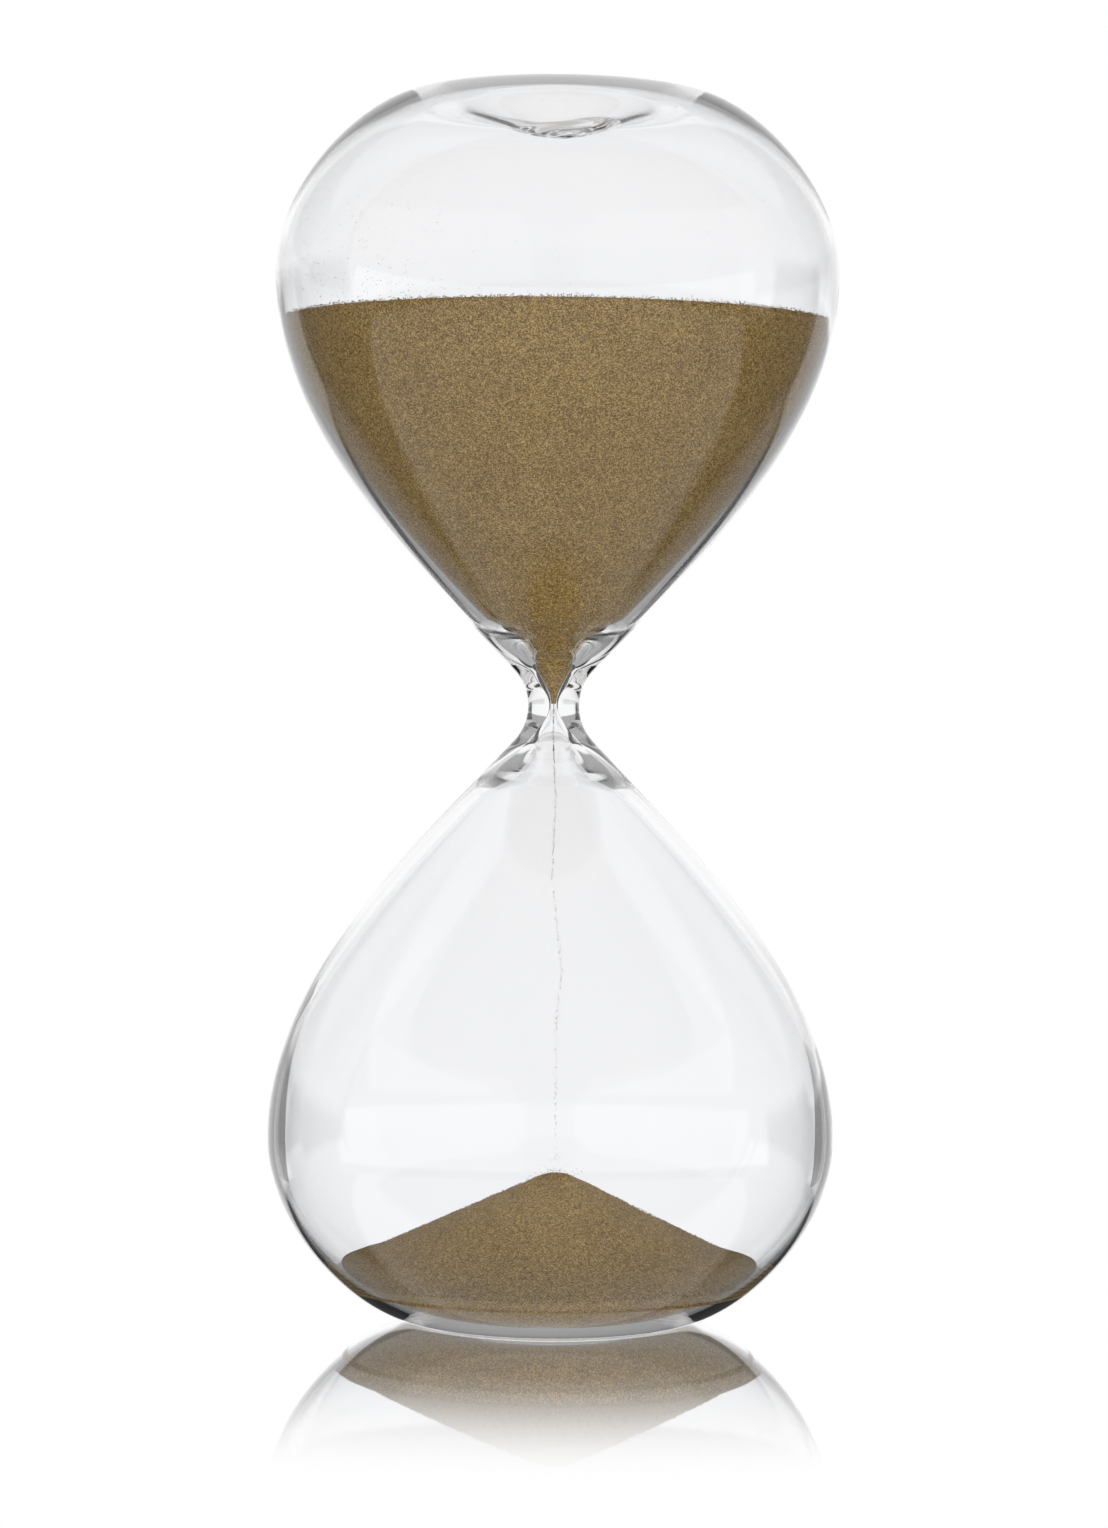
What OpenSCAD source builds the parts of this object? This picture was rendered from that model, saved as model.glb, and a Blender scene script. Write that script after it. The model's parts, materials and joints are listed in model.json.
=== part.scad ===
// Hand-blown hourglass without a frame: two glass bulbs fused at a thick neck, with sand inside.
// Millimetres, +Z up, origin at the centre of the base ring, glass symmetric above and below the neck.

/* [Glass] */
// Overall height, from the base ring to the top ring
height = 250; // [246:1:256]
// Largest outside diameter of each bulb
belly_d = 115.2; // [112:0.4:118]
// Distance of the widest place from the middle of the neck
belly_reach = 88.2; // [86:0.2:90]
// Middle diameter of the flat ring that each end stands on
ring_d = 51.2; // [48:0.4:54]
// Width of the flat worn on each ring
ring_flat = 2.4; // [1.6:0.2:3]
// Wall thickness at the widest place
belly_wall = 1.2; // [1:0.1:1.6]
// Wall thickness at the ends
end_wall = 1.6; // [1.2:0.1:2]
// Depth of the hollow pushed into each end
dimple_depth = 6.2; // [4:0.2:7]

/* [Neck] */
// Outside diameter at the waist
waist_d = 10.4; // [9:0.2:12]
// Radius of the rounding outside the waist
waist_round = 10.5; // [9:0.5:12]
// Diameter of the hole that the sand runs through
bore_d = 1.2; // [1:0.1:1.4]
// Radius of the rounding inside the throat
throat_round = 9; // [8:0.5:10]
// Distance from the middle of the neck to the fused joint with each bulb
neck_reach = 9.4; // [9:0.2:10]
// Angle of the outside of the bulb at that joint, from the axis
cone_angle = 43.5; // [42:0.5:45]
// Angle of the throat above and below the hole, from the axis
throat_angle = 22; // [20:0.5:24]
// Distance from the middle of the neck to the shoulder where the wall of a bulb is thin again
shoulder_reach = 18.6; // [18:0.1:19]
// Inside radius of that shoulder
shoulder_r = 15; // [14.6:0.1:15.4]
// Angle of the inside of the bulb at the shoulder, from the axis
flank_angle = 45; // [43:0.5:46]

/* [Seals] */
// Diameter of the gather of glass that closes each bulb
seal_d = 33; // [20:1:36]
// Height of the rings left in the gather
ripple_height = 0.35; // [0.1:0.05:0.4]
// Distance between those rings
ripple_pitch = 5.5; // [4:0.5:8]

/* [Sand] */
// Height of the upper sand above the middle of the neck
upper_level = 78.4; // [74:0.2:82]
// Angle of the crater in the upper sand
crater_slope = 30; // [26:1:32]
// Radius of the crater at the top of the upper sand
crater_r = 48.5; // [44:0.5:51]
// How far the surface of the crater sinks along the joint's travel
crater_sink = 1.38; // [1:0.02:2]
// Height of the tip of the pile above the base ring
pile_top = 29.4; // [27:0.2:31]
// Radius of the blunt tip of the pile
pile_tip_r = 3.4; // [2:0.2:5]
// Radius of the foot of the pile
pile_foot_r = 36; // [32:0.5:38]
// Angle of the pile
pile_slope = 26.8; // [24:0.4:28]
// Angle of the sand between the foot of the pile and the glass
bed_slope = 20; // [10:1:24]
// Height of the sand against the glass, above the base ring
bed_rim = 10.1; // [9.5:0.1:11]
// Diameter of the falling stream
stream_d = 0.7; // [0.5:0.05:0.7]
// Number of grains that cling inside the upper bulb
grain_count = 40; // [10:1:60]
// Diameter of those grains
grain_d = 0.5; // [0.3:0.1:0.8]

/* [Hidden] */
$fn = 128;

reach = height / 2;         // from the middle of the neck to the flat of either ring
belly_r = belly_d / 2;
ring_r = ring_d / 2;
seal_r = seal_d / 2;
gap = 0.08;                 // between sand and glass, and between sand that moves and sand that rests

// Lengths of the handles that bend the two curves of each side
cone_pull = 27.9;
belly_pull = 31.5;
end_pull = 18;
ring_pull = 12;
throat_pull = 1.5;
shoulder_pull = 3.5;
inner_cone_pull = 45;
inner_belly_pull = 19.4;

// How far from the glass the sand at the bottom begins to slope down to it
bed_edge = 2.2;
// How far the foot of the pile reaches down into the resting sand, which is more than it rises
pile_skirt = 4;
// Between the stream and the sand at either end of it
stream_gap = 0.05;

// Points of a cubic curve between a and d, pulled towards b and c
function curve(a, b, c, d, steps) = [
    for (i = [0 : steps])
        let (t = i / steps, s = 1 - t)
        s * s * s * a + 3 * s * s * t * b + 3 * s * t * t * c + t * t * t * d
];

// The neck from its narrowest place outwards: an arc, then a cone up to the fused joint.
// Every outline point is [radius, distance from the middle of the neck].
function neck_side(narrow_r, round_r, angle) = concat(
    [for (i = [0 : 8]) [
        narrow_r + round_r * (1 - cos(angle * i / 8)),
        round_r * sin(angle * i / 8)
    ]],
    [[joint_r(narrow_r, round_r, angle), neck_reach]]
);
function joint_r(narrow_r, round_r, angle) =
    narrow_r + round_r * (1 - cos(angle)) + (neck_reach - round_r * sin(angle)) * tan(angle);

outer_joint_r = joint_r(waist_d / 2, waist_round, cone_angle);
inner_joint_r = joint_r(bore_d / 2, throat_round, throat_angle);

// The outside of a bulb, from the joint over the widest place to the flat of the ring
function outer_side() = concat(
    curve(
        [outer_joint_r, neck_reach],
        [outer_joint_r + cone_pull * sin(cone_angle), neck_reach + cone_pull * cos(cone_angle)],
        [belly_r, belly_reach - belly_pull],
        [belly_r, belly_reach],
        16
    ),
    drop_first(curve(
        [belly_r, belly_reach],
        [belly_r, belly_reach + end_pull],
        [ring_r + ring_flat / 2 + ring_pull, reach],
        [ring_r + ring_flat / 2, reach],
        14
    ))
);

// The inside of a bulb from the joint to the top of the ring; inset moves it towards the axis
function inner_side(inset = 0) = concat(
    inner_shoulder(inset),
    drop_first(inner_flank(inset)),
    drop_first(curve(
        [inner_belly_r(inset), belly_reach],
        [inner_belly_r(inset), belly_reach + end_pull],
        [ring_r + ring_pull, inner_reach(inset)],
        [ring_r, inner_reach(inset)],
        14
    ))
);
function inner_shoulder(inset) = curve(
    [inner_joint_r - inset, neck_reach],
    [
        inner_joint_r - inset + throat_pull * sin(throat_angle),
        neck_reach + throat_pull * cos(throat_angle)
    ],
    [
        shoulder_r - inset - shoulder_pull * sin(flank_angle),
        shoulder_reach - shoulder_pull * cos(flank_angle)
    ],
    [shoulder_r - inset, shoulder_reach],
    8
);
function inner_flank(inset) = curve(
    [shoulder_r - inset, shoulder_reach],
    [
        shoulder_r - inset + inner_cone_pull * sin(flank_angle),
        shoulder_reach + inner_cone_pull * cos(flank_angle)
    ],
    [inner_belly_r(inset), belly_reach - inner_belly_pull],
    [inner_belly_r(inset), belly_reach],
    16
);
function inner_belly_r(inset) = belly_r - belly_wall - inset;
function inner_reach(inset) = reach - end_wall - inset;

// The hollow in an end: a smooth bowl from the rim_r of the ring down to the axis
function dimple(r, rim_r, top) = top - dimple_depth * (1 + cos(180 * min(r, rim_r) / rim_r)) / 2;
outer_rim_r = ring_r - ring_flat / 2;
function outer_dimple(r) = dimple(r, outer_rim_r, reach);
function inner_dimple(r, inset = 0) = dimple(r, ring_r, inner_reach(inset));

// Rings in a seal, which die out towards its edge
function ripple(r) = ripple_height * cos(360 * r / ripple_pitch) * (1 - r / seal_r);

function drop_first(list) = [for (i = [1 : len(list) - 1]) list[i]];
function backwards(list) = [for (i = [len(list) - 1 : -1 : 0]) list[i]];
function between(list, low, high) = [for (p = list) if (p[1] > low && p[1] < high) p];
function wall_r(distance, inset) = lookup(distance, [for (p = inner_side(inset)) [p[1], p[0]]]);

// Places a shape that was drawn from the neck outwards in the upper or the lower bulb
module in_upper() {
    translate([0, 0, reach]) children();
}

module in_lower() {
    translate([0, 0, reach]) mirror([0, 0, 1]) children();
}

module bulb() {
    steps = 8;
    dimple_step = (outer_rim_r - seal_r) / steps;
    inner_step = (ring_r - seal_r) / steps;
    rotate_extrude() polygon(concat(
        outer_side(),
        [for (i = [0 : steps]) let (r = outer_rim_r - i * dimple_step) [r, outer_dimple(r)]],
        [for (i = [0 : steps - 1]) let (r = seal_r + i * inner_step) [r, inner_dimple(r)]],
        backwards(inner_side())
    ));
}

module upper_bulb() {
    color([0.82, 0.88, 0.92, 0.35]) in_upper() bulb();
}

module lower_bulb() {
    color([0.82, 0.88, 0.92, 0.35]) in_lower() bulb();
}

module neck() {
    outer = neck_side(waist_d / 2, waist_round, cone_angle);
    inner = neck_side(bore_d / 2, throat_round, throat_angle);
    half_outline = concat(outer, backwards(inner));
    color([0.74, 0.82, 0.88, 0.5]) union() {
        in_upper() rotate_extrude() polygon(half_outline);
        in_lower() rotate_extrude() polygon(half_outline);
    }
}

// The gather of molten glass that closes a bulb, with rings where it was pressed
module seal() {
    steps = 24;
    step = seal_r / steps;
    rotate_extrude() polygon(concat(
        [for (i = [0 : steps]) let (r = i * step) [r, inner_dimple(r) - ripple(r)]],
        [for (i = [steps : -1 : 0]) let (r = i * step) [r, outer_dimple(r) + ripple(r)]]
    ));
}

module fill_seal() {
    color([0.68, 0.76, 0.82, 0.6]) in_upper() seal();
}

module base_seal() {
    color([0.68, 0.76, 0.82, 0.6]) in_lower() seal();
}

crater_depth = crater_r * tan(crater_slope);
sunk_crater_r = crater_r + (crater_sink + gap) / tan(crater_slope);
sunk_crater_depth = sunk_crater_r * tan(crater_slope);
throat_end = 0.4;           // how far above the middle of the neck the resting sand ends

// The sand in the upper bulb that stays at rest, with the deeper crater
module upper_sand() {
    throat = neck_side(bore_d / 2 - gap, throat_round, throat_angle);
    color([0.55, 0.46, 0.31]) in_upper() rotate_extrude() polygon(concat(
        [[0, throat_end], [bore_d / 2 - gap, throat_end]],
        between(throat, throat_end, neck_reach - gap),
        between(inner_side(gap), neck_reach - gap, upper_level),
        [[wall_r(upper_level, gap), upper_level]],
        [[sunk_crater_r, upper_level], [0, upper_level - sunk_crater_depth]]
    ));
}

// The layer that slides down the crater and runs out
module draining_sand() {
    layer_r = crater_r + crater_sink / tan(crater_slope);
    color([0.6, 0.5, 0.34]) in_upper() rotate_extrude() polygon([
        [0, upper_level - crater_depth - crater_sink],
        [layer_r, upper_level],
        [crater_r, upper_level],
        [0, upper_level - crater_depth]
    ]);
}

// The falling grains, from the hole in the neck down to the tip of the pile
module sand_stream() {
    stream_top = reach + throat_end - stream_gap;
    stream_foot = pile_top + stream_gap;
    color([0.72, 0.66, 0.55]) translate([0, 0, stream_foot])
        cylinder(h = stream_top - stream_foot, d = stream_d, $fn = 32);
}

pile_foot = pile_top - (pile_foot_r - pile_tip_r) * tan(pile_slope);
pile_bottom = pile_foot - pile_skirt;

// The sand at the bottom that stays at rest, with a pit for the pile
module lower_sand() {
    rim_distance = reach - bed_rim;
    rim_r = wall_r(rim_distance, gap);
    edge_r = rim_r - bed_edge;
    edge_height = pile_foot - (edge_r - pile_foot_r) * tan(bed_slope);
    inner_step = ring_r / 16;
    color([0.5, 0.42, 0.29]) in_lower() rotate_extrude() polygon(concat(
        [[0, reach - pile_bottom + gap], [pile_foot_r + gap, reach - pile_bottom + gap]],
        [[pile_foot_r + gap, reach - pile_foot], [edge_r, reach - edge_height]],
        [[rim_r, rim_distance]],
        between(inner_side(gap), rim_distance, reach),
        [for (i = [15 : -1 : 0]) let (r = i * inner_step) [r, inner_dimple(r, gap + ripple_height)]]
    ));
}

// The cone of sand that grows under the stream
module sand_pile() {
    color([0.57, 0.48, 0.33]) rotate_extrude() polygon([
        [0, pile_bottom],
        [pile_foot_r, pile_bottom],
        [pile_foot_r, pile_foot],
        [pile_tip_r, pile_top],
        [0, pile_top]
    ]);
}

// Grains that static holds on the inside of the upper bulb, most of them on one side
module clinging_grains() {
    golden = 0.618;
    lowest = upper_level + 3;
    span = 28;
    color([0.45, 0.38, 0.26])
        for (i = [1 : grain_count]) {
            distance = lowest + span * (i * golden - floor(i * golden));
            side = 180 + 75 * sin(i * 97);
            in_upper()
                rotate([0, 0, side])
                    translate([wall_r(distance, gap) - grain_d / 2, 0, distance])
                        sphere(d = grain_d, $fn = 16);
        }
}

upper_bulb();
lower_bulb();
neck();
fill_seal();
base_seal();
upper_sand();
draining_sand();
sand_stream();
lower_sand();
sand_pile();
clinging_grains();
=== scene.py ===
"""Looks of the frameless blown-glass hourglass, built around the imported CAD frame.

Lengths are in millimetres until a mesh is made. The studio (camera, cards and floor) is in
metres. Outlines run from the middle of the neck outwards, as [radius, distance from the neck],
and a side of +1 or -1 says whether they stand above or below it.
"""
import json
import math

import bpy
import numpy as np
from mathutils import Matrix, Vector, noise


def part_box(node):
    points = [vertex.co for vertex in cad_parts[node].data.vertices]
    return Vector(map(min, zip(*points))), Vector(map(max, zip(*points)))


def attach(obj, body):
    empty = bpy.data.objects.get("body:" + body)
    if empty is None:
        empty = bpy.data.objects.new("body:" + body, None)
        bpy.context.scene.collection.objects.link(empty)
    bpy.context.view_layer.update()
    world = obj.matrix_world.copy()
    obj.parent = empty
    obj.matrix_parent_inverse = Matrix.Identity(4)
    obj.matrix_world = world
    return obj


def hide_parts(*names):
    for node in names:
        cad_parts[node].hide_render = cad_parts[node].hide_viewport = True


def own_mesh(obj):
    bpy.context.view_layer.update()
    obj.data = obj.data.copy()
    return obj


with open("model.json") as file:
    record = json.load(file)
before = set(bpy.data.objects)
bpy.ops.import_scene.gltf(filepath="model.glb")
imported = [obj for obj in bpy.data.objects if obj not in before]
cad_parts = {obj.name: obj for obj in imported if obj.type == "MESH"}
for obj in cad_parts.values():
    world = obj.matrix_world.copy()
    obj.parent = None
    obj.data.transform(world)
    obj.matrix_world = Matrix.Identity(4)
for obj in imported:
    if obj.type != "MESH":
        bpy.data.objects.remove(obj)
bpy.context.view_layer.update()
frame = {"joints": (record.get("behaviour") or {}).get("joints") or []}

MM = 0.001
SEED = 7

# ---------------------------------------------------------------- sizes from the frame


def cad_box(node):
    """Lowest and highest corner of a CAD node, in millimetres."""
    low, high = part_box(node)
    return np.array(low) / MM, np.array(high) / MM


BULB_HIGH = cad_box("upper_bulb")[1]
NECK_HIGH = cad_box("neck")[1]
SEAL_HIGH = cad_box("fill_seal")[1]
UPPER_LOW, UPPER_HIGH = cad_box("upper_sand")
LAYER_HIGH = cad_box("draining_sand")[1]
STREAM_HIGH = cad_box("sand_stream")[1]
PILE_HIGH = cad_box("sand_pile")[1]

REACH = BULB_HIGH[2] / 2                       # from the middle of the neck to either ring
BELLY_R = BULB_HIGH[0]
NECK_REACH = NECK_HIGH[2] - REACH              # from the middle of the neck to the fused joint
SEAL_R = SEAL_HIGH[0]
UPPER_LEVEL = UPPER_HIGH[2] - REACH
LAYER_R = LAYER_HIGH[0]
STREAM_TOP = STREAM_HIGH[2]
PILE_TOP = PILE_HIGH[2]
PILE_FOOT_R = PILE_HIGH[0]
TRAVEL = {j["name"]: j["range_m"][1] / MM for j in frame["joints"]}

# ---------------------------------------------------------------- sizes of the glass

BELLY_REACH = 88.2                             # from the middle of the neck to the widest place
RING_R = 25.6                                  # the ring that each end stands on
RING_FLAT = 2.4
BELLY_WALL = 1.2
END_WALL = 1.6
DIMPLE_DEPTH = 6.2                             # the hollow in each end
WAIST_R = 5.2                                  # outside of the neck
WAIST_ROUND = 10.5
CONE_ANGLE = math.radians(43.5)                # outside, where neck and bulb meet
BORE_R = 0.6                                   # inside of the neck
THROAT_ROUND = 9.0
THROAT_ANGLE = math.radians(22)
SHOULDER_REACH = 18.6                          # where the throat has opened into the bulb
SHOULDER_R = 15.0
FLANK_ANGLE = math.radians(45)                 # inside, from the shoulder on
# How far a curve of the outline keeps the direction of its start and of its end
OUTER_PULL = (27.9, 31.5)                      # outside, from the fused joint to the belly
THROAT_PULL = (1.5, 3.5)                       # inside, from the fused joint to the shoulder
FLANK_PULL = (45, 19.4)                        # inside, from the shoulder to the belly
END_PULL = (18, 12)                            # both, from the belly to the ring
RIPPLE_PITCH = 4.6                             # the swirl in a seal
RIPPLE_HEIGHT = 0.2
SCAR_PLACE = np.array([2.4, 0.8])              # its middle
LUMP_PLACE = np.array([9.0, -3.5])             # where the gather was snapped off
LUMP_HEIGHT = 0.35
LUMP_R = 2.2

# ---------------------------------------------------------------- sizes of the sand

SAND_GAP = 0.1                                 # between the sand and the glass
CRATER_SLOPE = math.tan(math.radians(30))
PILE_SLOPE = math.tan(math.radians(26.8))
TOE_SLOPE = math.tan(math.radians(40))         # of the part that only shows when the pile rises
PILE_TIP_R = 3.4                               # how blunt the tip is
PILE_LEAN = 1.3                                # the stream lands this far from the axis
BED_SLOPE = math.tan(math.radians(20))
BED_RIM = 10.1                                 # height of the resting sand at the glass
BED_EDGE = 2.2                                 # width of its slope down to the glass
LAYER_SUNK = 0.2                               # the layer ends its travel this far under the crater
# How uneven the sand lies: (height, spacing)
CRATER_BUMPS = (0.5, 9.0)
BED_BUMPS = (0.3, 7.0)
PILE_BUMPS = (0.35, 6.0)
GRAIN = 0.26                                   # middle size of a grain that lies loose
TONE_SCALE = 5600.0                            # grains of tone to a metre, in the sand's material
RIM_GRAINS = 3600
PILE_GRAINS = 5200
FALLING_GRAINS = 520
BOUNCING_GRAINS = 90
DUST_GRAINS = 420
START_SPEED = 150.0                            # of the stream, in mm/s
GRAVITY = 9810.0                               # mm/s2
# Where the stream drifts to: (height above the base ring, distance towards +X)
STREAM_DRIFT = (
    (30, 1.3), (49, 0.9), (63, 1.2), (71, 2.1), (81, 1.0), (90, 0), (106, 0.6), (118, -0.1), (125, 0),
)
ROUND = 144                                    # sides of every turned piece

# ---------------------------------------------------------------- light of the studio

BACK_LIGHT = 0.985                             # the backdrop, as the glass shows it
UNDER_LIGHT = 0.66                             # the same, in the floor's reflection of the glass
SKY_LIGHT = 0.98                               # all round, where nothing else stands
SIDE_LIGHT = 0.75                              # a strip low behind the glass, to either side
EDGE_LIGHT = 0.1                               # the dark end of the backdrop, to either side
FRONT_LIGHT = 0.2                              # around the panels
PANEL_LIGHT = 0.8
STRIP_LIGHT = 1.0                              # the outer edge of the right panel
GAP_LIGHT = 0.6                                # between the panels
OVER_PANEL_LIGHT = 0.35
CEILING_LIGHT = 0.38
BOARD_LIGHT = 0.55                             # the white board under the front of the glass
LOW_SIDE_LIGHT = 0.08                          # below, beyond that board
LOW_LIGHT = 0.4                                # below and behind, through the glass
STEEP_LIGHT = 0.4                              # straight below, through the glass
CARD_LIGHT = 0.05                              # the dark cards in the edges of the glass
ROOM_LIGHT = 0.93                              # through both walls of a bulb
SAND_LIGHT_LOW = 0.3                           # what lights the sand, from below
SAND_LIGHT_HIGH = 0.42                         # from above
SAND_LIGHT_FRONT = 1.35                        # from the front
# Directions, in degrees: turn is 0 straight behind the glass and 180 in front of it
EDGE_TURN = 46.0                               # where the backdrop ends and its dark end begins
FRONT_TURN = 84.0
GAP_TURN = 168.0
PANEL_LOW = -9.0
PANEL_HIGH = 32.0
LOW_HEIGHT = -15.0                             # the light from below starts here
# The white board below has its edge where y + BOARD_TILT * z + BOARD_SLANT * |x| is 0
BOARD_TILT = 0.716
BOARD_SLANT = 0.27
# The camera, the cards and the floor, in metres
CAMERA_PLACE = (0.0, -0.843, 0.129)
CAMERA_ROLL = math.radians(0.52)
CARD_AWAY = 0.055                              # behind the axis
CARD_NEAR = 0.0632                             # sideways from the axis
CARD_FAR = 0.0735
CARD_LOW = 0.018
CARD_TOP_LEFT = 0.078
CARD_TOP_RIGHT = 0.058
FLOOR_R = 0.42
FLOOR_DROP = 0.0003                            # under the base ring
FLOOR_FADE = (0.06, 0.175)                     # the reflection fades out between these radii
FLOOR_MIRROR = 0.94
FLOOR_ROUGHNESS = 0.02
FLOOR_GLOW = 0.06

# ---------------------------------------------------------------- outlines


def curve(a, b, c, d, steps):
    """Points of a cubic curve from a to d, pulled towards b and c."""
    t = np.linspace(0, 1, steps + 1)[:, None]
    s = 1 - t
    a, b, c, d = (np.array(p, float) for p in (a, b, c, d))
    return s**3 * a + 3 * s * s * t * b + 3 * s * t * t * c + t**3 * d


def joint_r(narrow_r, round_r, angle):
    """Radius at the fused joint between the neck and a bulb."""
    straight = NECK_REACH - round_r * math.sin(angle)
    return narrow_r + round_r * (1 - math.cos(angle)) + straight * math.tan(angle)


def neck_side(narrow_r, round_r, angle, steps):
    """From the waist outwards: an arc, then a cone up to the fused joint."""
    turn = np.linspace(0, angle, steps + 1)
    arc = np.stack([narrow_r + round_r * (1 - np.cos(turn)), round_r * np.sin(turn)], 1)
    end = np.array([joint_r(narrow_r, round_r, angle), NECK_REACH])
    t = np.linspace(0, 1, 7)[1:, None]
    return np.vstack([arc, arc[-1] + t * (end - arc[-1])])


def dimple(r, rim_r, top):
    """Height of the hollow in an end, from the rim of the ring to the axis."""
    return top - DIMPLE_DEPTH * (1 + np.cos(np.pi * np.minimum(r, rim_r) / rim_r)) / 2


def heading(angle, length):
    """A step of that length at that angle from the axis."""
    return length * np.array([math.sin(angle), math.cos(angle)])


def to_belly(start, angle, belly_r, pull):
    """From a start at that angle from the axis out to the widest place."""
    belly = np.array([belly_r, BELLY_REACH])
    return curve(start, start + heading(angle, pull[0]), belly - [0, pull[1]], belly, 44)[1:]


def to_ring(belly_r, ring_r, top):
    """From the widest place to the ring that the end stands on."""
    belly, ring = np.array([belly_r, BELLY_REACH]), np.array([ring_r, top])
    return curve(belly, belly + [0, END_PULL[0]], ring + [END_PULL[1], 0], ring, 36)[1:]


def outer_side():
    """The outside of one half, from the waist to the middle of the end."""
    start = np.array([joint_r(WAIST_R, WAIST_ROUND, CONE_ANGLE), NECK_REACH])
    hollow_r = np.linspace(RING_R - RING_FLAT / 2, 0, 61)
    return np.vstack([
        neck_side(WAIST_R, WAIST_ROUND, CONE_ANGLE, 16),
        to_belly(start, CONE_ANGLE, BELLY_R, OUTER_PULL),
        to_ring(BELLY_R, RING_R + RING_FLAT / 2, REACH),
        np.stack([hollow_r, dimple(hollow_r, hollow_r[0], REACH)], 1),
    ])


def inner_wall(inset=0.0):
    """The inside of one half: the throat, the shoulder, the belly and the ring, moved in by inset."""
    joint = np.array([joint_r(BORE_R, THROAT_ROUND, THROAT_ANGLE) - inset, NECK_REACH])
    shoulder = np.array([SHOULDER_R - inset, SHOULDER_REACH])
    leave = joint + heading(THROAT_ANGLE, THROAT_PULL[0])
    arrive = shoulder - heading(FLANK_ANGLE, THROAT_PULL[1])
    belly_r = BELLY_R - BELLY_WALL - inset
    return np.vstack([
        neck_side(BORE_R - inset, THROAT_ROUND, THROAT_ANGLE, 16),
        curve(joint, leave, arrive, shoulder, 16)[1:],
        to_belly(shoulder, FLANK_ANGLE, belly_r, FLANK_PULL),
        to_ring(belly_r, RING_R, REACH - END_WALL - inset),
    ])


def inner_hollow(inset=0.0):
    """The inside of the end, from the ring to the axis."""
    r = np.linspace(RING_R, 0, 61)[1:]
    return np.stack([r, dimple(r, RING_R, REACH - END_WALL - inset)], 1)


def wall_r(distance, inset=0.0):
    """Inner radius of the glass at a distance from the neck."""
    wall = inner_wall(inset)
    return float(np.interp(distance, wall[:, 1], wall[:, 0]))


def part_of(outline, low, high):
    """The points of an outline between two distances from the neck."""
    return outline[(outline[:, 1] > low) & (outline[:, 1] < high)]


def stand(outline, side):
    """An outline from the neck outwards, turned into [radius, height above the base ring]."""
    return np.stack([outline[:, 0], REACH + side * outline[:, 1]], 1)


# ---------------------------------------------------------------- mesh helpers


def wobble(points):
    """The slight unevenness of hand-blown glass. Sand that touches the glass shares it."""
    x, y, z = points.T
    turn = np.arctan2(y, x)
    swell = 0.0012 * np.sin(2 * turn + z / 40) + 0.0009 * np.sin(3 * turn - z / 31 + 1.3)
    bend = 0.06 * np.sin(z / 37 + 0.4)
    return np.stack([x * (1 + swell) + bend, y * (1 + swell), z], 1)


def seal_swirl(points, outwards):
    """Presses the swirl and the lump of the sealed gather into both ends. Outwards is +1 on the
    outside of the glass and -1 on the inside."""
    x, y, z = points.T
    side = np.sign(z - REACH)
    from_scar = np.stack([x - SCAR_PLACE[0], (y - SCAR_PLACE[1]) * 1.2], 1)
    turn = np.arctan2(from_scar[:, 1], from_scar[:, 0])
    away = np.hypot(*from_scar.T) * (1 + 0.1 * np.sin(2 * turn + 1)) + 0.7 * turn / np.pi
    fade = np.clip(1 - away / (SEAL_R - 2), 0, 1) * (0.6 + 0.4 * np.sin(turn * 3 + away * 0.5))
    swirl = RIPPLE_HEIGHT * np.cos(2 * np.pi * away / RIPPLE_PITCH) * fade
    from_lump = np.hypot(x - LUMP_PLACE[0], y - LUMP_PLACE[1])
    lump = LUMP_HEIGHT * np.exp(-(from_lump / LUMP_R) ** 2) * (1 + 0.5 * np.sin(1.9 * x + 2.7 * y))
    at_end = np.abs(z - REACH) > REACH - END_WALL - DIMPLE_DEPTH - 2
    inside_ring = np.hypot(x, y) < SEAL_R + 4
    pressed = outwards * swirl - lump * (outwards < 0)
    return points + np.stack([0 * x, 0 * y, side * pressed * at_end * inside_ring], 1)


def make_object(name, vertices, faces, smooth=True):
    """A mesh object from vertices in millimetres."""
    mesh = bpy.data.meshes.new(name)
    mesh.from_pydata((np.asarray(vertices) * MM).tolist(), [], faces)
    mesh.validate()
    mesh.polygons.foreach_set("use_smooth", [smooth] * len(mesh.polygons))
    mesh.update()
    made = bpy.data.objects.new(name, mesh)
    bpy.context.scene.collection.objects.link(made)
    return made


def lathe(outline, sides=ROUND):
    """Vertices and faces of a turned surface. Ends on the axis close to a point, and the
    surface faces outwards when the outline runs upwards."""
    turns = np.linspace(0, 2 * np.pi, sides, endpoint=False)
    vertices, rows = [], []
    for r, z in outline:
        if r < 1e-6:
            rows.append([len(vertices)] * sides)
            vertices.append((0.0, 0.0, z))
        else:
            rows.append(list(range(len(vertices), len(vertices) + sides)))
            vertices.extend((r * math.cos(t), r * math.sin(t), z) for t in turns)
    faces = []
    for low, high in zip(rows, rows[1:]):
        for i in range(sides):
            j = (i + 1) % sides
            corners = [low[i], low[j], high[j], high[i]]
            faces.append(list(dict.fromkeys(corners)))
    return np.array(vertices), faces


def join_shells(shells):
    """Several (vertices, faces) as one."""
    vertices, faces, count = [], [], 0
    for v, f in shells:
        vertices.append(v)
        faces.extend([[i + count for i in face] for face in f])
        count += len(v)
    return np.vstack(vertices), faces


def uneven(points, bumps, where):
    """Lifts and lowers points by smooth noise of about that height and spacing, times where (0 to 1)."""
    height, spacing = bumps
    places = [Vector(p) for p in points]
    lift = np.array([noise.noise(p / spacing) + 0.5 * noise.noise(p * 2.3 / spacing) for p in places])
    moved = points.copy()
    moved[:, 2] += height * lift * where
    return moved


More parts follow.
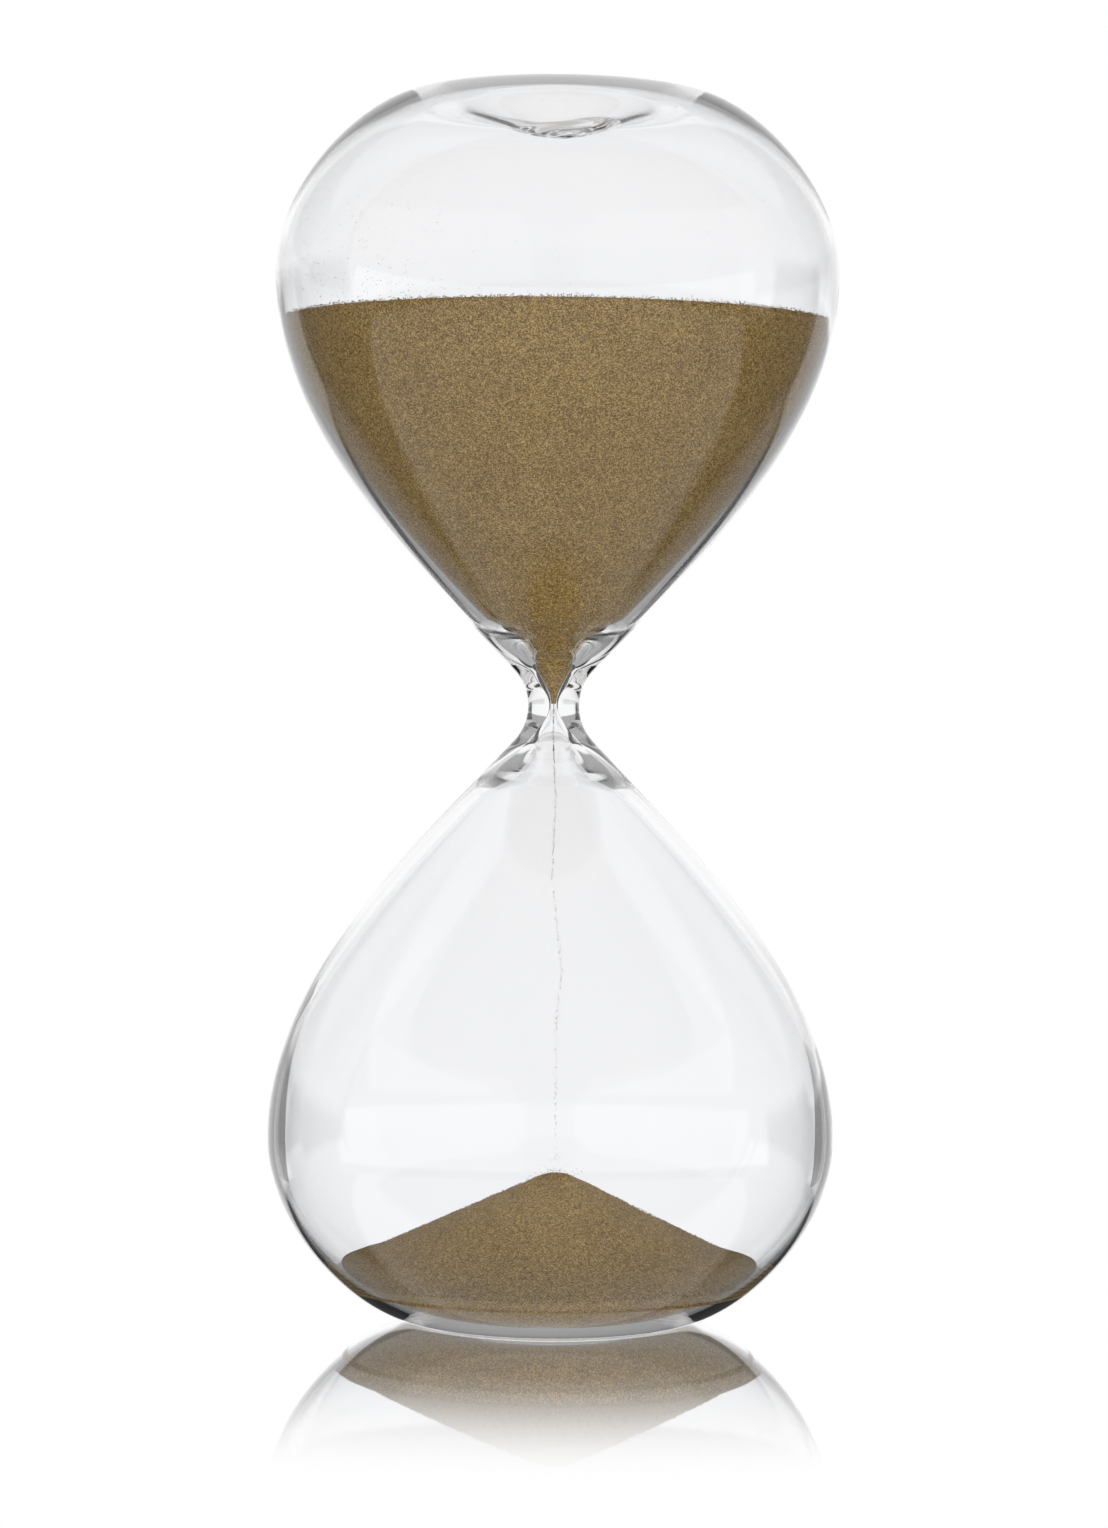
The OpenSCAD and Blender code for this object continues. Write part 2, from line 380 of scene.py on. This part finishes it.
def grains(centres, sizes, draw):
    """Small grains with eight faces, of random shape and turn, at the given places."""
    corners = np.array([[1, 0, 0], [-1, 0, 0], [0, 1, 0], [0, -1, 0], [0, 0, 1], [0, 0, -1]], float)
    sides = ((0, 2, 4), (2, 1, 4), (1, 3, 4), (3, 0, 4), (2, 0, 5), (1, 2, 5), (3, 1, 5), (0, 3, 5))
    vertices, faces = [], []
    for i, (centre, size) in enumerate(zip(centres, sizes)):
        shape = corners * draw.uniform(0.7, 1.15, (6, 1))
        spin, tilt = (Matrix.Rotation(draw.uniform(0, 6.28), 3, axis) for axis in "ZX")
        vertices.append(shape @ np.array(spin @ tilt).T * size / 2 + centre)
        faces.extend([[c + 6 * i for c in side] for side in sides])
    return np.vstack(vertices), faces


def finish_piece(piece, material, body, slot, *nodes):
    """Gives a piece its material and body, and hides the CAD nodes it stands for."""
    piece.data.materials.append(material)
    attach(piece, body)
    if nodes:
        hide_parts(*nodes)
    return piece


# ---------------------------------------------------------------- materials


def new_material(name):
    """A material with its node tree and its shader."""
    material = bpy.data.materials.new(name)
    material.use_nodes = True
    shader = material.node_tree.nodes["Principled BSDF"]
    return material, material.node_tree, shader


def add(tree, kind, **inputs):
    """A node of that kind with its named inputs set, or linked where the value is a socket."""
    node = tree.nodes.new(kind)
    for name, value in inputs.items():
        socket = node.inputs[name.replace("_", " ")]
        if isinstance(value, bpy.types.NodeSocket):
            tree.links.new(value, socket)
        else:
            socket.default_value = value
    return node


def math_node(tree, operation, *values):
    """The result of a math node on sockets or numbers."""
    node = tree.nodes.new("ShaderNodeMath")
    node.operation = operation
    for socket, value in zip(node.inputs, values):
        if isinstance(value, bpy.types.NodeSocket):
            tree.links.new(value, socket)
        else:
            socket.default_value = value
    return node.outputs["Value"]


def ramp(tree, factor, *stops):
    """A colour ramp with (position, colour) stops."""
    node = tree.nodes.new("ShaderNodeValToRGB")
    tree.links.new(factor, node.inputs["Fac"])
    elements = node.color_ramp.elements
    while len(elements) < len(stops):
        elements.new(0.5)
    for element, (position, colour) in zip(elements, stops):
        element.position = position
        element.color = (*colour, 1)
    return node.outputs["Color"]


def glass_material():
    """Clear borosilicate glass with faint streaks and the waves of hand blowing."""
    material, tree, shader = new_material("blown_glass")
    shader.inputs["IOR"].default_value = 1.47
    shader.inputs["Roughness"].default_value = 0.0
    shader.inputs["Transmission Weight"].default_value = 1.0
    place = tree.nodes.new("ShaderNodeTexCoord").outputs["Object"]
    stretched = add(tree, "ShaderNodeMapping", Vector=place, Scale=(1, 1, 0.35)).outputs["Vector"]
    waves = add(tree, "ShaderNodeTexNoise", Vector=stretched, Scale=45.0, Detail=2.0)
    tint = ramp(tree, waves.outputs["Fac"], (0.3, (0.98, 0.984, 0.995)), (0.7, (0.989, 0.992, 1.0)))
    tree.links.new(tint, shader.inputs["Base Color"])
    bump = add(tree, "ShaderNodeBump", Height=waves.outputs["Fac"], Strength=0.015, Distance=0.001)
    tree.links.new(bump.outputs["Normal"], shader.inputs["Normal"])
    return material


def sand_material(name, dark, middle, light):
    """Fine sand: every grain has its own tone, over slow drifts of tone."""
    material, tree, shader = new_material(name)
    place = tree.nodes.new("ShaderNodeTexCoord").outputs["Object"]
    cells = add(tree, "ShaderNodeTexVoronoi", Vector=place, Scale=TONE_SCALE)
    tone = add(tree, "ShaderNodeSeparateColor", Color=cells.outputs["Color"]).outputs["Red"]
    drift = add(tree, "ShaderNodeTexNoise", Vector=place, Scale=90.0, Detail=3.0)
    clumps = add(tree, "ShaderNodeTexNoise", Vector=place, Scale=1100.0, Detail=1.0)
    wide = add(tree, "ShaderNodeMapRange", Value=drift.outputs["Fac"], To_Min=-0.1, To_Max=0.1)
    near = add(tree, "ShaderNodeMapRange", Value=clumps.outputs["Fac"], To_Min=-0.14, To_Max=0.14)
    total = math_node(tree, "ADD", tone, math_node(tree, "ADD", wide.outputs[0], near.outputs[0]))
    colour = ramp(tree, total, (0.05, dark), (0.5, middle), (0.95, light))
    tree.links.new(colour, shader.inputs["Base Color"])
    shader.inputs["Roughness"].default_value = 0.6
    shader.inputs["Specular IOR Level"].default_value = 0.2
    bump = add(tree, "ShaderNodeBump", Height=cells.outputs["Distance"], Strength=0.25, Distance=0.0002)
    tree.links.new(bump.outputs["Normal"], shader.inputs["Normal"])
    return material


# ---------------------------------------------------------------- studio


def make_camera():
    """Level camera at the height of the neck, turned a touch about its own axis."""
    data = bpy.data.cameras.new("camera")
    data.lens = 97.2
    data.sensor_width = 36.0
    data.shift_y = -0.051
    camera = bpy.data.objects.new("camera", data)
    camera.location = CAMERA_PLACE
    level = Matrix.Rotation(math.radians(90), 4, "X")
    camera.rotation_euler = (level @ Matrix.Rotation(CAMERA_ROLL, 4, "Z")).to_euler()
    bpy.context.scene.collection.objects.link(camera)
    bpy.context.scene.camera = camera


def make_world():
    """The studio as brightness by direction: a white backdrop with dark ends, two soft panels in
    front, a dim stretch of ceiling, a white board below, and dark cards in the edges of the glass.
    The camera sees white everywhere, and the sand is lit by a soft light of its own."""
    world = bpy.data.worlds.new("studio")
    world.use_nodes = True
    tree = world.node_tree
    toward = tree.nodes.new("ShaderNodeTexCoord").outputs["Generated"]
    axes = add(tree, "ShaderNodeSeparateXYZ", Vector=toward).outputs

    def calc(operation, *values):
        return math_node(tree, operation, *values)

    def degrees(value):
        return calc("MULTIPLY", value, 180 / math.pi)

    def above(value, edge, soft):
        """0 below the edge and 1 above it"""
        node = add(tree, "ShaderNodeMapRange", Value=value, From_Min=edge - soft, From_Max=edge + soft)
        node.interpolation_type = "SMOOTHSTEP"
        return node.outputs["Result"]

    def between(value, low, high, soft):
        return calc("SUBTRACT", above(value, low, soft), above(value, high, soft))

    def both(a, b):
        return calc("MULTIPLY", a, b)

    def blend(a, b, share):
        """a where share is 0 and b where it is 1"""
        return calc("MULTIPLY_ADD", calc("SUBTRACT", b, a), share, a)

    sideways = degrees(calc("ARCTAN2", axes["X"], axes["Y"]))
    turn = calc("ABSOLUTE", sideways)
    height = degrees(calc("ARCSINE", axes["Z"]))
    slant = degrees(calc("ARCTAN2", axes["Z"], calc("ABSOLUTE", axes["X"])))

    path = tree.nodes.new("ShaderNodeLightPath").outputs
    mirrored = above(path["Glossy Depth"], 0.5, 0.1)
    through = path["Is Transmission Ray"]
    # Beside the glass: white, with a dimmer strip low behind it and a dark end further round
    strip = both(between(turn, 14.0, EDGE_TURN, 4.0), between(height, 2.0, 9.0, 1.5))
    side = blend(SKY_LIGHT, SIDE_LIGHT, strip)
    dark_end = both(between(turn, EDGE_TURN, 86.0, 2.0), between(height, -40.0, 6.0, 3.0))
    side = blend(side, EDGE_LIGHT, dark_end)
    # In front: two soft panels with a gap between them, and a brighter strip to the right
    in_front = above(turn, FRONT_TURN, 3.0)
    front = blend(side, FRONT_LIGHT, in_front)
    panel_rows = between(height, PANEL_LOW, PANEL_HIGH, 1.5)
    front = blend(front, OVER_PANEL_LIGHT, both(in_front, above(height, PANEL_HIGH, 1.5)))
    front = blend(front, GAP_LIGHT, both(above(turn, GAP_TURN, 1.0), panel_rows))
    left = both(between(sideways, -170.0, -86.0, 1.0), panel_rows)
    right = both(between(sideways, 101.0, 170.0, 1.0), panel_rows)
    outer_edge = both(between(sideways, 81.0, 101.0, 1.0), panel_rows)
    lit = blend(blend(front, PANEL_LIGHT, left), PANEL_LIGHT, right)
    lit = blend(lit, STRIP_LIGHT, outer_edge)
    # Below: dark, but for a white board that reaches forward from a slanting edge under the object
    reach = calc("MULTIPLY_ADD", axes["Z"], BOARD_TILT, axes["Y"])
    reach = calc("MULTIPLY_ADD", calc("ABSOLUTE", axes["X"]), BOARD_SLANT, reach)
    low = blend(BOARD_LIGHT, LOW_SIDE_LIGHT, above(reach, 0.0, 0.015))
    past_edge = above(turn, EDGE_TURN, 3.0)
    low_through = blend(LOW_LIGHT, low, past_edge)
    low_through = blend(STEEP_LIGHT, low_through, above(height, -50.0, 8.0))
    low = blend(low, low_through, through)
    lit = blend(low, lit, above(height, LOW_HEIGHT, 1.0))
    # Above: a dim stretch of ceiling, in front and behind but not to the sides
    lit = blend(lit, CEILING_LIGHT, both(above(slant, 62.0, 4.0), between(height, 19.0, 44.0, 1.5)))
    # Behind: the backdrop, which the floor shows less brightly through the glass
    from_floor = both(mirrored, above(height, 8.6, 0.2))
    back = blend(1.0, blend(BACK_LIGHT, UNDER_LIGHT, from_floor), through)
    behind = both(calc("SUBTRACT", 1.0, above(turn, 12.0, 2.0)), between(height, -16.0, 19.0, 1.5))
    lit = blend(lit, back, behind)
    # Dark cards, for light that was mirrored as well as bent: it runs along inside the wall and
    # shows in the edges of the glass
    left_card = both(between(sideways, -46.0, -9.0, 1.5), between(height, -18.0, 5.0, 1.5))
    right_card = both(between(sideways, 9.0, 46.0, 1.5), between(height, -18.0, 0.5, 1.5))
    card = both(both(mirrored, through), calc("MAXIMUM", left_card, right_card))
    lit = blend(lit, CARD_LIGHT, card)
    # Seen through both walls of a bulb, away from the horizon behind: the white room
    both_walls = calc("SUBTRACT", above(path["Transmission Depth"], 2.5, 0.1), mirrored)
    both_walls = calc("MAXIMUM", both_walls, 0.0)
    off_horizon = above(calc("ABSOLUTE", height), 18.0, 2.0)
    elsewhere = calc("MAXIMUM", past_edge, off_horizon)
    lit = blend(lit, ROOM_LIGHT, both(both_walls, elsewhere))
    # What the floor and the outside of the glass mirror above the horizon: white as well
    on_top = both(both(mirrored, calc("SUBTRACT", 1.0, through)), above(height, 4.0, 4.0))
    lit = blend(lit, 1.0, on_top)
    # What lights the sand: soft light, stronger from above and most of all from the front
    shade = blend(SAND_LIGHT_LOW, SAND_LIGHT_HIGH, above(height, 10.0, 50.0))
    shade = blend(shade, SAND_LIGHT_FRONT, above(turn, 120.0, 30.0))
    lit = blend(lit, shade, above(path["Diffuse Depth"], 0.5, 0.1))
    background = tree.nodes["Background"].inputs
    tree.links.new(calc("MAXIMUM", lit, path["Is Camera Ray"]), background["Strength"])
    background["Color"].default_value = (1, 1, 1, 1)
    bpy.context.scene.world = world


def make_cards():
    """Two dark boards behind the glass, which show only through it, from the front in its edges."""
    material, _, shader = new_material("card")
    shader.inputs["Base Color"].default_value = (0.02, 0.02, 0.022, 1)
    for name, side, top in (("card_left", -1, CARD_TOP_LEFT), ("card_right", 1, CARD_TOP_RIGHT)):
        corners = [(side * x, CARD_AWAY, z) for z in (CARD_LOW, top) for x in (CARD_NEAR, CARD_FAR)]
        mesh = bpy.data.meshes.new(name)
        mesh.from_pydata(corners, [], [[0, 1, 3, 2]])
        mesh.materials.append(material)
        card = bpy.data.objects.new(name, mesh)
        card.visible_camera = False
        card.visible_glossy = False
        card.visible_diffuse = False
        bpy.context.scene.collection.objects.link(card)


def make_floor():
    """Pale glossy board whose reflection fades away from the object."""
    turns = np.linspace(0, 2 * np.pi, 96, endpoint=False)
    rim = [(FLOOR_R * math.cos(t), FLOOR_R * math.sin(t), 0) for t in turns]
    mesh = bpy.data.meshes.new("floor")
    mesh.from_pydata(rim, [], [list(range(len(rim)))])
    floor = bpy.data.objects.new("floor", mesh)
    floor.location.z = -FLOOR_DROP
    floor.visible_transmission = False
    floor.visible_diffuse = False
    floor.visible_glossy = False
    bpy.context.scene.collection.objects.link(floor)
    material = bpy.data.materials.new("floor")
    material.use_nodes = True
    tree = material.node_tree
    tree.nodes.clear()
    place = tree.nodes.new("ShaderNodeTexCoord").outputs["Object"]
    away = tree.nodes.new("ShaderNodeVectorMath")
    away.operation = "LENGTH"
    tree.links.new(place, away.inputs[0])
    start, end = FLOOR_FADE
    fade = add(tree, "ShaderNodeMapRange", Value=away.outputs["Value"], From_Min=start, From_Max=end)
    fade.interpolation_type = "SMOOTHSTEP"
    pale = (FLOOR_MIRROR, FLOOR_MIRROR, FLOOR_MIRROR, 1)
    mirror = add(tree, "ShaderNodeBsdfGlossy", Color=pale, Roughness=FLOOR_ROUGHNESS)
    glow = add(tree, "ShaderNodeEmission", Color=(1, 1, 1, 1), Strength=FLOOR_GLOW)
    near = tree.nodes.new("ShaderNodeAddShader")
    tree.links.new(mirror.outputs[0], near.inputs[0])
    tree.links.new(glow.outputs[0], near.inputs[1])
    white = add(tree, "ShaderNodeEmission", Color=(1, 1, 1, 1), Strength=1.0)
    both = tree.nodes.new("ShaderNodeMixShader")
    tree.links.new(fade.outputs["Result"], both.inputs["Fac"])
    tree.links.new(near.outputs[0], both.inputs[1])
    tree.links.new(white.outputs[0], both.inputs[2])
    output = tree.nodes.new("ShaderNodeOutputMaterial")
    tree.links.new(both.outputs[0], output.inputs["Surface"])
    mesh.materials.append(material)


# ---------------------------------------------------------------- glass


def make_glass():
    """One fused envelope: the outside, and the inside of both chambers through the bore."""
    inside = np.vstack([inner_wall(), inner_hollow()])
    shells = []
    for outline, outwards in ((outer_side(), 1), (inside, -1)):
        whole = np.vstack([stand(outline, -1)[::-1], stand(outline, 1)[1:]])
        vertices, faces = lathe(whole)
        if outwards < 0:
            faces = [face[::-1] for face in faces]
        shells.append((seal_swirl(vertices, outwards), faces))
    vertices, faces = join_shells(shells)
    piece = make_object("glass_envelope", wobble(vertices), faces)
    return finish_piece(
        piece, glass_material(), "glass", "blown_glass",
        "upper_bulb", "lower_bulb", "neck", "fill_seal", "base_seal",
    )


# ---------------------------------------------------------------- sand


def crater(r, apex):
    """Height of a crater's slope at a radius, from the height of its lowest point."""
    return apex + r * CRATER_SLOPE


def make_upper_sand(material):
    """The sand that still rests in the upper bulb, with the deeper crater."""
    wall = inner_wall(SAND_GAP)
    apex = UPPER_LEVEL - LAYER_R * CRATER_SLOPE
    bottom = UPPER_LOW[2] - REACH
    rim_r = wall_r(UPPER_LEVEL, SAND_GAP)
    outline = np.vstack([
        [[0, bottom]],
        part_of(wall, bottom, UPPER_LEVEL),
        [[rim_r, UPPER_LEVEL]],
        [[r, UPPER_LEVEL] for r in np.linspace(rim_r, LAYER_R, 5)[1:]],
        [[r, crater(r, apex)] for r in np.linspace(LAYER_R, 0, 40)[1:]],
    ])
    vertices, faces = lathe(stand(outline, 1))
    on_top = vertices[:, 2] >= crater(np.hypot(*vertices[:, :2].T), apex + REACH) - 0.01
    vertices = uneven(vertices, CRATER_BUMPS, on_top & (vertices[:, 2] > REACH + NECK_REACH))
    piece = make_object("upper_sand_bed", wobble(vertices), faces)
    return finish_piece(piece, material, "glass", "bronze_sand", "upper_sand")


def make_draining_sand(material):
    """The layer that runs off the crater."""
    sink = TRAVEL["crater_sink"] - LAYER_SUNK
    crater_r = LAYER_R - sink / CRATER_SLOPE
    apex = UPPER_LEVEL - crater_r * CRATER_SLOPE
    outline = np.vstack([
        [[0, apex - sink]],
        [[r, crater(r, apex - sink)] for r in np.linspace(0, LAYER_R, 40)[1:]],
        [[r, crater(r, apex)] for r in np.linspace(crater_r, 0, 40)],
    ])
    vertices, faces = lathe(stand(outline, 1))
    vertices = uneven(vertices, CRATER_BUMPS, np.ones(len(vertices)))
    piece = make_object("draining_layer", wobble(vertices), faces)
    return finish_piece(piece, material, "draining", "bronze_sand", "draining_sand")


def make_upper_rim(material):
    """Grains piled unevenly against the glass along the edge of the upper sand."""
    draw = np.random.default_rng(SEED)
    count = RIM_GRAINS
    turn = draw.uniform(0, 2 * np.pi, count)
    heap = np.array([noise.noise(Vector((6 * math.cos(t), 6 * math.sin(t), 0.5))) for t in turn])
    lift = np.abs(draw.normal(0, 0.28, count)) + 0.35 * np.clip(heap, 0, 1) * draw.uniform(0, 1, count)
    z = UPPER_HIGH[2] - 0.1 + lift
    size = draw.uniform(0.7, 1.3, count) * GRAIN
    r = np.array([wall_r(h - REACH, SAND_GAP) for h in z]) - size / 2 - draw.exponential(0.25, count)
    vertices, faces = grains(np.stack([r * np.cos(turn), r * np.sin(turn), z], 1), size, draw)
    piece = make_object("upper_sand_rim", wobble(vertices), faces, smooth=False)
    return finish_piece(piece, material, "glass", "bronze_sand", "upper_sand")


def foot_height():
    """Height of the pile's foot above the base ring."""
    return PILE_TOP - (PILE_FOOT_R - PILE_TIP_R) * PILE_SLOPE


def make_lower_sand(material):
    """The sand at rest on the bottom."""
    rim = REACH - BED_RIM
    rim_r = wall_r(rim, SAND_GAP)
    foot = foot_height()
    edge_r = rim_r - BED_EDGE
    wall = inner_wall(SAND_GAP)
    hollow = inner_hollow(SAND_GAP + 0.3)[::-1]
    under = np.vstack([hollow, wall[wall[:, 1] > rim][::-1]])
    outline = np.vstack([
        stand(under, -1),
        [[rim_r, BED_RIM]],
        [[r, min(foot, foot - (r - PILE_FOOT_R) * BED_SLOPE) - 0.1] for r in np.linspace(edge_r, 0, 60)],
    ])
    vertices, faces = lathe(outline)
    r = np.hypot(*vertices[:, :2].T)
    vertices = uneven(vertices, BED_BUMPS, (vertices[:, 2] > BED_RIM) & (r > 1) & (r < edge_r + 0.1))
    piece = make_object("lower_sand_bed", wobble(vertices), faces)
    return finish_piece(piece, material, "glass", "bronze_sand", "lower_sand")


def pile_height(r):
    """A blunt tip, a straight slope, and a steeper toe that lies in the resting sand."""
    slope = PILE_TOP - (np.sqrt(r * r + PILE_TIP_R**2) - PILE_TIP_R) * PILE_SLOPE
    return slope - np.maximum(r - PILE_FOOT_R, 0) * (TOE_SLOPE - PILE_SLOPE)


def lean(points):
    """Leans the pile towards the place where the stream lands."""
    r = np.hypot(*points[:, :2].T)
    moved = points.copy()
    moved[:, 0] += PILE_LEAN * np.clip(1 - r / PILE_FOOT_R, 0, 1)
    return moved


def make_pile(material):
    """The cone under the stream."""
    toe_r = PILE_FOOT_R + TRAVEL["pile_growth"] / (TOE_SLOPE - BED_SLOPE)
    r = np.linspace(toe_r, 0, 90)
    slope = np.stack([r, pile_height(r)], 1)
    outline = np.vstack([[[0, slope[0, 1] - 1.0], [toe_r, slope[0, 1] - 1.0]], slope])
    vertices, faces = lathe(outline)
    above_toe = np.clip(vertices[:, 2] - slope[0, 1] + 0.5, 0, 1)
    inwards = np.clip(1.2 - np.hypot(*vertices[:, :2].T) / toe_r, 0, 1)
    vertices = uneven(lean(vertices), PILE_BUMPS, above_toe * inwards)
    piece = make_object("sand_cone", vertices, faces)
    return finish_piece(piece, material, "pile", "bronze_sand", "sand_pile")


def make_pile_grains(material):
    """Loose grains on the slope, which give it a grainy edge."""
    draw = np.random.default_rng(SEED + 1)
    count = PILE_GRAINS
    r = PILE_FOOT_R * np.sqrt(draw.uniform(0, 1, count))
    turn = draw.uniform(0, 2 * np.pi, count)
    z = pile_height(r) + draw.uniform(-0.05, 0.2, count)
    centres = np.stack([r * np.cos(turn), r * np.sin(turn), z], 1)
    vertices, faces = grains(lean(centres), draw.uniform(0.7, 1.2, count) * GRAIN, draw)
    piece = make_object("loose_grains", vertices, faces, smooth=False)
    return finish_piece(piece, material, "pile", "bronze_sand", "sand_pile")


def make_stream(material):
    """Grains that fall one by one, and a few that bounce where they land."""
    draw = np.random.default_rng(SEED + 2)
    fall = STREAM_TOP - PILE_TOP
    count = FALLING_GRAINS
    last = (math.sqrt(START_SPEED**2 + 2 * GRAVITY * fall) - START_SPEED) / GRAVITY
    time = draw.uniform(0, last, count)
    z = STREAM_TOP - START_SPEED * time - GRAVITY * time**2 / 2
    heights, drifts = np.array(STREAM_DRIFT).T
    spread = 0.08 + 0.2 * (STREAM_TOP - z) / fall
    x = np.interp(z, heights, drifts) + draw.normal(0, 1, count) * spread
    y = draw.normal(0, 1, count) * spread
    falling = np.stack([x, y, z], 1)
    hop = draw.normal(0, 3.0, (BOUNCING_GRAINS, 2))
    hop_z = pile_height(np.hypot(*hop.T)) + 0.2 + draw.exponential(0.6, BOUNCING_GRAINS)
    bounce = np.stack([hop[:, 0] + PILE_LEAN, hop[:, 1], hop_z], 1)
    centres = np.vstack([falling, bounce])
    vertices, faces = grains(centres, draw.uniform(0.6, 1.0, len(centres)) * GRAIN, draw)
    piece = make_object("falling_grains", vertices, faces, smooth=False)
    finish_piece(piece, material, "glass", "falling_sand", "sand_stream")
    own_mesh(piece)
    return piece


def make_dust(material):
    """Grains that static holds on the inside of the upper bulb, most of them low on the left."""
    draw = np.random.default_rng(SEED + 3)
    count = DUST_GRAINS
    crowd = draw.uniform(0, 1, count) < 0.72
    lift = np.where(crowd, draw.exponential(12.0, count), draw.exponential(17.0, count))
    z = UPPER_HIGH[2] + 0.8 + np.minimum(lift, 38.0)
    size = draw.uniform(0.45, 0.9, count) * GRAIN
    r = np.array([wall_r(h - REACH, SAND_GAP) for h in z]) - size / 2
    x = np.where(crowd, draw.normal(-37, 12, count), draw.uniform(-50, 50, count))
    x = np.clip(x, -r, r)
    y = np.sqrt(r**2 - x**2) * draw.choice([-1, 1], count)
    vertices, faces = grains(np.stack([x, y, z], 1), size, draw)
    piece = make_object("clinging_dust", wobble(vertices), faces, smooth=False)
    return finish_piece(piece, material, "glass", "sand_dust", "clinging_grains")


# ---------------------------------------------------------------- scene

bpy.context.scene.view_settings.view_transform = "Standard"
bpy.context.scene.cycles.max_bounces = 32
bpy.context.scene.cycles.transmission_bounces = 32
bpy.context.scene.cycles.glossy_bounces = 16
make_camera()
make_world()
make_cards()
make_floor()
make_glass()
bronze = sand_material("bronze_sand", (0.16, 0.092, 0.024), (0.34, 0.202, 0.055), (0.72, 0.51, 0.19))
falling = sand_material("falling_sand", (0.2, 0.15, 0.09), (0.38, 0.29, 0.17), (0.6, 0.48, 0.3))
dust = sand_material("sand_dust", (0.08, 0.06, 0.03), (0.2, 0.14, 0.07), (0.4, 0.3, 0.16))
make_upper_sand(bronze)
make_draining_sand(bronze)
make_upper_rim(bronze)
make_lower_sand(bronze)
make_pile(bronze)
make_pile_grains(bronze)
make_stream(falling)
make_dust(dust)
